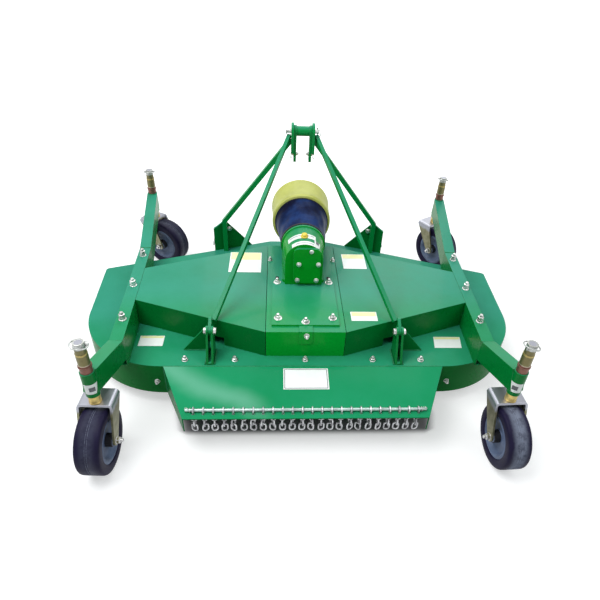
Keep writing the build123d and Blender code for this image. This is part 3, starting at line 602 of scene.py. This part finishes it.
def several(name, shape, places, up=UP, material=zinc):
    """One object with a copy of a shape at each place on the frame, each turned further than the last."""
    copies = [placed(shape, place, up, 17.0 * k) for k, place in enumerate(places)]
    return on_frame(name, joined(*copies), material)


deck_bolts = [(x, ahead(0.265), DECK_TOP) for x in (-0.472, -0.278, 0.0, 0.271, 0.467)]
several("deck_bolts", nut_on_stud(0.012), deck_bolts)

rail_bolts = []
for _, side in SIDES:
    for distance in (0.363, 0.595, 0.836):
        x = RAIL_REAR_X + (distance - RAIL_REAR) * (RAIL_FRONT_X - RAIL_REAR_X) / RAIL_LENGTH
        rail_bolts.append((side * x, ahead(distance), RAIL_TOP))
several("rail_bolts", nut_on_stud(0.014, 2), rail_bolts)

stand_bolts = [(0.0, ahead(0.343), STAND_TOP)]
for _, side in SIDES:
    stand_bolts.append((side * 0.109, ahead(0.367), STAND_TOP))
    stand_bolts.append((side * SLOT_X, ahead(0.618), STAND_TOP))
several("stand_bolts", joined(disc(0.0165, -0.0005, 0.0018), nut_on_stud(0.0125)), stand_bolts)
several("channel_bolts", nut_on_stud(0.010), [(side * 0.1455, ahead(0.811), RAIL_TOP) for _, side in SIDES])
several("tab_bolt", nut_on_stud(0.011), [(0.003, ahead(0.286), 0.314)], REARWARD)

lid_bolts = [(x, LID_Y, z) for x, z in ((-0.0275, 0.367), (0.054, 0.367), (-0.0225, 0.446), (0.060, 0.446))]
several("lid_bolts", bolt_head(0.0105), lid_bolts, REARWARD)
on_frame("lid_plug", placed(disc(0.0095, -0.001, 0.005, 0.0015), (0.028, LID_Y, 0.5085), REARWARD))

# Each slot of the stand shows as three overlapping dark discs: painted shade in place of the open slot
stand_slot_shade = []
for _, side in SIDES:
    for distance in (0.643, 0.650, 0.657):
        stand_slot_shade.append((side * SLOT_X, ahead(distance), STAND_TOP))
several("stand_slot_shade", disc(0.0075, 0.0, 0.0004, 0.0001), stand_slot_shade, material=seal_black)

for name, side in SIDES:
    lobe_angle = math.radians(-90 + side * 3.7)
    outward = (math.cos(lobe_angle), math.sin(lobe_angle), 0)
    spot = (side * LOBE_X + LOBE_R * outward[0], LOBE_Y + LOBE_R * outward[1], 0.125)
    on_frame(f"skirt_bolt_{name}", placed(nut_on_stud(0.010), spot, outward))


# Chains
def oval_link():
    """Oval ring of round wire in the XZ plane: a circle whose upper and lower halves are moved apart."""
    straight = (LINK_LENGTH - LINK_WIDTH) / 2
    angle = np.linspace(0, 2 * math.pi, 28, endpoint=False)
    radius = (LINK_WIDTH - LINK_WIRE) / 2
    height = radius * np.sin(angle) + straight * np.sign(np.sin(angle))
    path = np.stack([radius * np.cos(angle), 0 * angle, height], -1)
    return tube(path, LINK_WIRE / 2, 8, closed=True)


# Each next link hangs in the one above, square to it but for a little swing by chance
rng = np.random.default_rng(7)
link = oval_link()
hung = []
for k in range(CHAINS):
    x = -CHAIN_REACH + k * 2 * CHAIN_REACH / (CHAINS - 1)
    swing = rng.normal(0, SWING, LINKS)
    for order in range(LINKS):
        turn = (90 if order % 2 == 0 else 0) + swing[order] * (order > 0)
        drift = 0.0006 * order * swing[order] / SWING
        height = ROD_Z - LINK_DROP - order * LINK_PITCH
        hung.append(placed(link, (x + drift, ROD_Y, height), UP, turn))
chains = on_frame("chains", joined(*hung), chain_zinc)
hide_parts("chain_curtain")
for name, side in SIDES:
    washer = placed(disc(0.0105, 0.0, 0.002), (side * 0.4205, ROD_Y, ROD_Z), (side, 0, 0))
    ring = placed(wire_ring(0.0075, 0.0014, 0.3), (side * 0.4335, ROD_Y, ROD_Z + 0.004), (0.25, 1, 0), 60.0)
    on_frame(f"rod_cotter_{name}", joined(washer, ring))

# Casters: profiles of (radius, height along the axis) in metres
TYRE_SIDE = [
    (0.0838, 0.0340), (0.0845, 0.0405), (0.0880, 0.0430), (0.1080, 0.0430), (0.1140, 0.0425),
    (0.1172, 0.0410), (0.1194, 0.0384), (0.1206, 0.0345), (0.1210, 0.0280), (0.1210, 0.0042),
    (0.1205, 0.0037), (0.1205, 0.0030), (0.1210, 0.0025),
]
HUB_SIDE = [
    (0.0086, 0.0500), (0.0150, 0.0500), (0.0155, 0.0525), (0.0215, 0.0525), (0.0230, 0.0510),
    (0.0232, 0.0300), (0.0262, 0.0225), (0.0340, 0.0205), (0.0580, 0.0225), (0.0640, 0.0265),
    (0.0665, 0.0345), (0.0735, 0.0395), (0.0750, 0.0405), (0.0765, 0.0395), (0.0800, 0.0405),
    (0.0838, 0.0385),
]
BOSS_SIDE = [(0.0165, 0.0512), (0.0228, 0.0516), (0.0242, 0.0500), (0.0246, 0.0262), (0.0242, 0.0240)]
PIN_PROFILE = [
    (0, -0.0260), (0.0036, -0.0260), (0.0042, -0.0230), (0.0042, 0.0185), (0.0078, 0.0195),
    (0.0078, 0.0275), (0, 0.0285),
]
CAP_PROFILE = [
    (0.0170, 0.5050), (0.0186, 0.5054), (0.0188, 0.5080), (0.0184, 0.5092), (0.0182, 0.5262),
    (0.0165, 0.5275), (0.0130, 0.5276), (0.0120, 0.5269), (0, 0.5269),
]
COLLAR_PROFILE = [
    (0.0191, 0.2622), (0.0212, 0.2626), (0.0212, 0.2680), (0.0203, 0.2690), (0.0203, 0.2975),
    (0.0191, 0.2994), (0.0191, 0.2622),
]


def both_sides(half):
    """Closed profile made of one side and its mirror image."""
    ring = half + [(radius, -height) for radius, height in reversed(half)]
    return ring + ring[:1]


for name, x, y, degrees in CASTERS:
    wheel = f"wheel_{name}"
    swivel = f"swivel_{name}"
    angle = math.radians(degrees)
    axle = (math.cos(angle), math.sin(angle), 0.0)
    centre = (x + TRAIL * math.sin(angle), y - TRAIL * math.cos(angle), WHEEL_R)
    rubber = tyre_rubber(f"tyre_rubber_{name}", centre, axle, DUST[name.split("_")[1]])
    tyre_shape = placed(lathe(both_sides(TYRE_SIDE), 96), centre, axle)
    tyre = piece(f"tyre_{name}", tyre_shape, rubber, wheel, 60)
    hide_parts(f"caster_tyre_{name}")
    hub_shape = placed(lathe(both_sides(HUB_SIDE), 72), centre, axle)
    hub = piece(f"hub_{name}", hub_shape, hub_grey, wheel, 50)
    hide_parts(f"caster_hub_{name}")
    boss = placed(lathe(both_sides(BOSS_SIDE), 48), centre, axle)
    piece(f"hub_boss_{name}", boss, seal_black, wheel)
    for end, place in ((-1, "inner"), (1, "outer")):
        outward = tuple(end * part for part in axle)
        root = tuple(c + end * FORK_HALF * a for c, a in zip(centre, axle))
        nut = placed(nut_on_stud(0.0138), root, outward, 11.0)
        piece(f"axle_nut_{name}_{place}", nut, bright_steel, swivel)
    pin_way = Vector((math.cos(angle + 0.5), math.sin(angle + 0.5), 0.0))
    pin = placed(lathe(PIN_PROFILE, 14), (x, y, LINCH_Z), pin_way)
    hoop = placed(wire_ring(0.0275, 0.0024), (x, y, LINCH_Z + 0.0055), pin_way * 0.25 + Vector(UP))
    cap = placed(lathe(CAP_PROFILE, 40), (x, y, 0))
    piece(f"linch_pin_{name}", joined(pin, hoop, cap), cap_zinc, swivel)
    collar = placed(lathe(COLLAR_PROFILE), (x, y, 0))
    piece(f"spindle_collar_{name}", collar, gold_zinc, swivel)

# Guard and boot: profiles of (radius, distance forward)
GUARD_PROFILE = [
    (0.1198, 0.0000), (0.1310, 0.0000), (0.1338, 0.0010), (0.1351, 0.0040), (0.1352, 0.0120),
    (0.1364, 0.0135), (0.1364, 0.0175), (0.1352, 0.0190), (0.1358, 0.0600), (0.1375, 0.1100),
    (0.1394, 0.1480), (0.1406, 0.1560), (0.1408, 0.1650), (0.1398, 0.1680), (0.1370, 0.1678),
    (0.1362, 0.1500), (0.1338, 0.1000), (0.1318, 0.0500), (0.1310, 0.0060), (0.1285, 0.0040),
    (0.1198, 0.0040), (0.1198, 0.0000),
]
CLAMP_PROFILE = [(0.0955, 0.0), (0.0985, 0.001), (0.0985, 0.011), (0.0955, 0.012), (0.0955, 0.0)]
RING_PROFILE = [(0.1205, 0.0), (0.1246, 0.001), (0.1250, 0.0055), (0.1205, 0.0065), (0.1205, 0.0)]


def about_shaft(profile, distance, sides):
    """Profile turned about the shaft, starting at a distance ahead of the rear axes."""
    return placed(lathe(profile, sides), (0, ahead(distance), SHAFT_Z), FORWARD)


def boot_surface():
    """Cone about Y: radius grows along it, with soft creases and dents that fade towards both rims."""
    along = np.linspace(0.0, 1.0, 70)[:, None]
    angle = np.linspace(0, 2 * math.pi, 144, endpoint=False)[None, :]
    fade = np.sin(math.pi * along)
    crease = 0.0024 * np.sin(3 * angle + 5 * along) * np.sin(7 * along + 2 * angle)
    ripple = 0.0010 * np.sin(11 * angle - 9 * along)
    dent = -0.007 * np.exp(-((angle - 2.35) / 0.28) ** 2 - ((along - 0.45) / 0.22) ** 2)
    radius = BOOT_REAR_R + BOOT_GROWTH * along + fade * (crease + ripple - 0.0026 + dent)
    walls = []
    for reach in (radius, radius - BOOT_WALL):
        height = SHAFT_Z + reach * np.sin(angle)
        points = (reach * np.cos(angle), ahead(BOOT_REAR) + BOOT_LENGTH * along, height)
        walls.append(np.stack(np.broadcast_arrays(*points), -1))
    return grid(np.concatenate([walls[0], walls[1][::-1], walls[0][:1]]))


bell = about_shaft(GUARD_PROFILE, GUARD_REAR, 96)
guard = piece("shaft_bell", bell, guard_yellow, "frame")
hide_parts("shaft_guard")
boot = piece("shaft_bellows", boot_surface(), boot_black, "frame", 60)
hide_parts("shaft_boot")
piece("boot_clamp", about_shaft(CLAMP_PROFILE, 0.747, 72), seal_black, "frame")
piece("boot_ring", about_shaft(RING_PROFILE, 0.9432, 96), seal_black, "frame")
plug = joined(disc(0.0165, -0.004, 0.003, 0.001), disc(0.0125, 0.003, 0.013, 0.003))
piece("oil_plug", placed(plug, (0, ahead(0.664), SHAFT_Z + 0.0851)), plug_yellow, "frame")

# Hitch and mast
for name, side in SIDES:
    outward = (side, 0, 0)
    strap_bolt = joined(
        placed(disc(0.0058, 0.0, 0.038, 0.001, 16), (side * 0.0170, MAST_Y, STRAP_BOLT_Z), outward),
        placed(hexagon(0.0092, 0.0, 0.0065), (side * 0.0412, MAST_Y, STRAP_BOLT_Z), outward),
        placed(hexagon(0.0092, 0.0, 0.0065), (side * 0.0292, MAST_Y, STRAP_BOLT_Z), (-side, 0, 0)),
        placed(wire_ring(0.0125, 0.0015, 0.35), (side * 0.0515, MAST_Y, 0.7140), (side, 0.3, 0), 90.0),
    )
    piece(f"strap_bolt_{name}", strap_bolt, zinc, "float_link")
    for spot, reach, way in (("inner", 0.3505, -1), ("outer", 0.4435, 1)):
        pin = placed(disc(0.0030, -0.020, 0.020, 0.001, 12), (side * reach, HITCH_PIN_Y, HITCH_PIN_Z))
        hoop_place = (side * (reach + way * 0.004), HITCH_PIN_Y, HITCH_PIN_Z + 0.003)
        hoop = placed(wire_ring(0.0175, 0.0017), hoop_place, (side * way, 0.25, 0.1))
        on_frame(f"hitch_linch_{spot}_{name}", joined(pin, hoop))
    web_y = ahead(1.202 - (WEB_BOLT_X - 0.150) * BRACKET_SLOPE)
    head = placed(bolt_head(0.012), (side * WEB_BOLT_X, web_y, 0.320), (-side * BRACKET_SLOPE, -1, 0))
    on_frame(f"web_bolt_{name}", head)
    for spot, way in (("inner", -1), ("outer", 1)):
        face = (side * (LUG_X + way * LUG_HALF), LUG_Y, LUG_Z)
        on_frame(f"lug_washer_{name}_{spot}", placed(disc(0.0155, 0.0, 0.0022), face, (side * way, 0, 0)))
pin_head = disc(0.0140, 0.0, 0.006, 0.0015)
on_frame("mast_pin_head", placed(pin_head, (-0.0735, MAST_Y, MAST_Z), (-1, 0, 0)))
pin = placed(disc(0.0026, -0.018, 0.018, 0.0008, 12), (0.0665, MAST_Y, MAST_Z))
hoop = placed(wire_ring(0.0190, 0.0017), (0.0705, MAST_Y, MAST_Z - 0.004), (1, 0.45, 0.15))
on_frame("mast_pin_clip", joined(pin, hoop))

# Weld beads of each side: start and end as (across, ahead, height), and radius
WELDS = [
    ((0.354, 0.238, 0.206), (0.354, 0.328, 0.206), 0.0032),
    ((0.390, 0.238, 0.206), (0.390, 0.328, 0.206), 0.0032),
    ((0.388, 0.3245, 0.206), (0.482, 0.3245, 0.206), 0.0030),
    ((0.682, 0.236, RAIL_TOP), (0.731, 0.234, RAIL_TOP), 0.0028),
    ((0.708, 0.906, RAIL_TOP), (0.757, 0.904, RAIL_TOP), 0.0028),
    ((0.5495, 0.229, 0.070), (0.5495, 0.229, 0.200), 0.0022),
]
beads = []
for _, side in SIDES:
    for start, end, radius in WELDS:
        ends = [(side * across, ahead(distance), height) for across, distance, height in (start, end)]
        beads.append(bead(*ends, radius))
deck_edge = [(x, ahead(0.2305), DECK_TOP - 0.0008) for x in (-0.548, 0.548)]
beads.append(bead(*deck_edge, 0.0020))
piece("weld_beads", joined(*beads), weld_green, "frame", 60)


# Blank films
def film(name, corners, material, lift):
    """Thin flat film between four corners, given in order, lifted off what it lies on."""
    corners = np.array(corners, float)
    normal = np.cross(corners[1] - corners[0], corners[3] - corners[0])
    normal /= np.linalg.norm(normal)
    share = np.linspace(0, 1, 5)
    low = corners[0] + share[:, None] * (corners[1] - corners[0])
    high = corners[3] + share[:, None] * (corners[2] - corners[3])
    flat = low[None] + share[:, None, None] * (high - low)[None]
    return piece(name, grid(flat + normal * lift, wrap_columns=False), material, "frame")


def level_film(name, sides, run, height, material, lift, skew):
    """Film lying level between two sides and two distances, moved sideways by the skew at its front edge."""
    left, right = sides
    rear, front = run
    places = [(left, rear), (right, rear), (right + skew, front), (left + skew, front)]
    return film(name, [(x, ahead(distance), height) for x, distance in places], material, lift)


def wrapped(name, axis, origin, radii, span, run, material, lift):
    """Film on a cone about Z or Y, between two angles in degrees, with a radius at each end of its run."""
    angle = np.radians(np.linspace(span[0], span[1], 25))[None, :]
    share = np.linspace(0, 1, 6)[:, None]
    reach = radii[0] + share * (radii[1] - radii[0]) + lift
    along = run[0] + share * (run[1] - run[0])
    parts = [reach * np.cos(angle), reach * np.sin(angle)]
    parts.insert(axis, along)
    flat = np.stack(np.broadcast_arrays(*parts), -1) + np.array(origin)
    return piece(name, grid(flat, wrap_columns=False), material, "frame")


def chute_height(distance):
    """Height of the chute's roof at a distance ahead of the rear axes."""
    return LIP_Z + (distance - LIP_Y) * CHUTE_SLOPE


# The sign on the chute: name, material, inset from the sign's edge, lift
for name, material, inset, lift in (
    ("sign", white_film, 0.0, 0.0007),
    ("sign_border", dark_film, 0.004, 0.0010),
    ("sign_face", white_film, 0.0065, 0.0013),
):
    half = 0.087 - inset
    rear = 0.119 + inset
    front = 0.218 - inset
    corners = [(-half, rear), (half, rear), (half, front), (-half, front)]
    film(name, [(x, ahead(distance), chute_height(distance)) for x, distance in corners], material, lift)

# Decals: name, left, right, rear, front, height, skew, share of the run behind the yellow band
for name, left, right, rear, front, height, skew, split in (
    ("deck_left", -0.671, -0.573, 0.347, 0.410, DECK_TOP, 0.0, 0.78),
    ("deck_right", 0.545, 0.660, 0.340, 0.410, DECK_TOP, 0.010, 0.78),
    ("cover_left", -0.331, -0.186, 0.706, 0.875, RAIL_TOP, 0.0, 0.62),
    ("cover_front", 0.192, 0.300, 0.746, 0.872, RAIL_TOP, 0.0, 0.70),
    ("cover_rear", 0.186, 0.293, 0.362, 0.421, RAIL_TOP, 0.0, 0.50),
):
    level_film(f"decal_{name}", (left, right), (rear, front), height, white_film, 0.0006, skew)
    band_sides = (left + 0.004 + skew * split, right - 0.004 + skew * split)
    band_run = (rear + (front - rear) * split, front - 0.003)
    level_film(f"decal_band_{name}", band_sides, band_run, height, yellow_film, 0.0010, skew * (1 - split))

# Labels on the swivel tubes, turned to the camera: name, low, high, half width in degrees, material, lift
for name, x, y, _ in CASTERS:
    facing = math.degrees(math.atan2(CAMERA_PLACE[1] - y, CAMERA_PLACE[0] - x))
    for patch, low, high, half, material, lift in (
        ("tube_label", 0.318, 0.361, 62, white_film, 0.0005),
        ("tube_mark", 0.330, 0.348, 24, dark_film, 0.0009),
    ):
        span = (facing - half, facing + half)
        wrapped(f"{patch}_{name}", 2, (x, y, 0), (TUBE_R, TUBE_R), span, (low, high), material, lift)

# Films on the gearbox's neck: name, angles, distances along the neck, material, lift
for name, start, end, low, high, material, lift in (
    ("band", 56, 142, 0.048, 0.078, white_film, 0.0006),
    ("corner", 38, 60, 0.0255, 0.0475, white_film, 0.0006),
    ("corner_mark", 44, 55, 0.028, 0.046, dark_film, 0.0010),
    ("rim", 40, 130, 0.001, 0.025, white_film, 0.0006),
    ("band_line", 62, 136, 0.064, 0.071, grey_film, 0.0010),
    ("rim_line", 62, 116, 0.009, 0.017, grey_film, 0.0010),
):
    radii = tuple(NECK_R + distance / NECK_LENGTH * NECK_GROWTH for distance in (low, high))
    wrapped(f"gearbox_film_{name}", 1, (0, NECK_Y, SHAFT_Z), radii, (start, end), (low, high), material, lift)


# Stage, light and camera
def camera_share(shader):
    """1 for rays from the camera and for mirrored or refracted ones, 0 for light that falls on things."""
    total = None
    for ray in ("Is Camera Ray", "Is Glossy Ray", "Is Transmission Ray"):
        signal = shader.node("LightPath", {}, output=ray)
        total = signal if total is None else total.math("MAXIMUM", signal)
    return total


# The floor gives light of its own, but not inside the chute's mouth, where the floor is painted darker and
# gives no light: a painted shadow under the chute
floor_shader = Shader("pale_floor", Roughness=0.9, Specular_IOR_Level=0.0, Emission_Strength=1.0)
floor_x = floor_shader.along(RIGHTWARD)
floor_y = floor_shader.along(FORWARD)
reach = floor_shader.length(floor_shader.place())
behind_mouth = floor_y.step(ahead(0.088), ahead(0.050))
beyond_mouth = floor_y.step(ahead(0.15), ahead(0.30))
sideways = (floor_x - 0.011).math("ABSOLUTE") - (floor_y - ahead(0.074)) * 0.25
beside_mouth = sideways.step(0.462, 0.520)
outside_painted_shadow = (behind_mouth + beyond_mouth + beside_mouth).math("MINIMUM", 1.0)
open_tint = floor_shader.mix(floor_shader.noise(0.6, 2.0), colour(0.60, 0.61, 0.61), colour(0.63, 0.63, 0.63))
glow = camera_share(floor_shader) * outside_painted_shadow * (reach.step(0.9, 2.6) * 0.5 + 0.5)
floor_material = floor_shader.done(
    # Inside the chute's mouth the floor's colour is a darker grey: painted shadow
    Base_Color=floor_shader.mix(outside_painted_shadow, colour(0.33, 0.30, 0.32), open_tint),
    Emission_Color=floor_shader.mix(glow, colour(0, 0, 0), colour(1, 1, 1)),
)

# Seen from below, the floor is clear
below = floor_shader.node("NewGeometry", {}, output="Backfacing")
see_through = floor_shader.node("BsdfTransparent", {})
one_sided = floor_shader.node("MixShader", {0: below, 2: see_through})
floor_shader.tree.links.new(floor_shader.surface.outputs[0], one_sided.socket.node.inputs[1])
floor_shader.tree.links.new(one_sided.socket, floor_shader.tree.nodes["Material Output"].inputs["Surface"])

floor_mesh = bpy.data.meshes.new("floor")
floor_mesh.from_pydata([(-40, -40, 0), (40, -40, 0), (40, 40, 0), (-40, 40, 0)], [], [(0, 1, 2, 3)])
floor_mesh.materials.append(floor_material)
floor = bpy.data.objects.new("floor", floor_mesh)
bpy.context.scene.collection.objects.link(floor)

world = bpy.data.worlds.new("studio")
bpy.context.scene.world = world
world.use_nodes = True


class Sky(Shader):
    """The world's nodes, used like a material's."""

    def __init__(self, tree):
        self.tree = tree


# White to the camera, a cool grey as light
sky = Sky(world.node_tree)
tint = sky.mix(camera_share(sky), colour(0.235, 0.265, 0.28), colour(1, 1, 1))
world.node_tree.links.new(tint.socket, world.node_tree.nodes["Background"].inputs["Color"])

# Softboxes, all aimed at the middle of the machine: name, place, size, strength in watts
for name, place, size, power in (
    ("key", (-1.6, -0.6, 3.4), 2.6, 122.0),
    ("fill", (2.6, -1.3, 3.0), 2.4, 40.0),
    ("back", (0.4, 3.0, 3.2), 3.0, 75.0),
):
    lamp = bpy.data.lights.new(name, "AREA")
    lamp.size = size
    lamp.energy = power
    softbox = bpy.data.objects.new(name, lamp)
    softbox.location = place
    softbox.rotation_euler = (Vector((0, 0, 0.3)) - Vector(place)).to_track_quat("-Z", "Y").to_euler()
    bpy.context.scene.collection.objects.link(softbox)

forward = Vector((math.sin(YAW) * math.cos(PITCH), math.cos(YAW) * math.cos(PITCH), -math.sin(PITCH)))
level = Vector((math.cos(YAW), -math.sin(YAW), 0.0))
above = level.cross(forward)
right = math.cos(ROLL) * level + math.sin(ROLL) * above
upward = -math.sin(ROLL) * level + math.cos(ROLL) * above
turned = Matrix((right, upward, -forward)).transposed().to_4x4()
view = bpy.data.cameras.new("view")
view.lens = LENS
view.shift_x = SHIFT_X
view.shift_y = SHIFT_Y
camera = bpy.data.objects.new("view", view)
camera.matrix_world = Matrix.Translation(CAMERA_PLACE) @ turned
bpy.context.scene.collection.objects.link(camera)
bpy.context.scene.camera = camera
bpy.context.scene.view_settings.view_transform = "Standard"
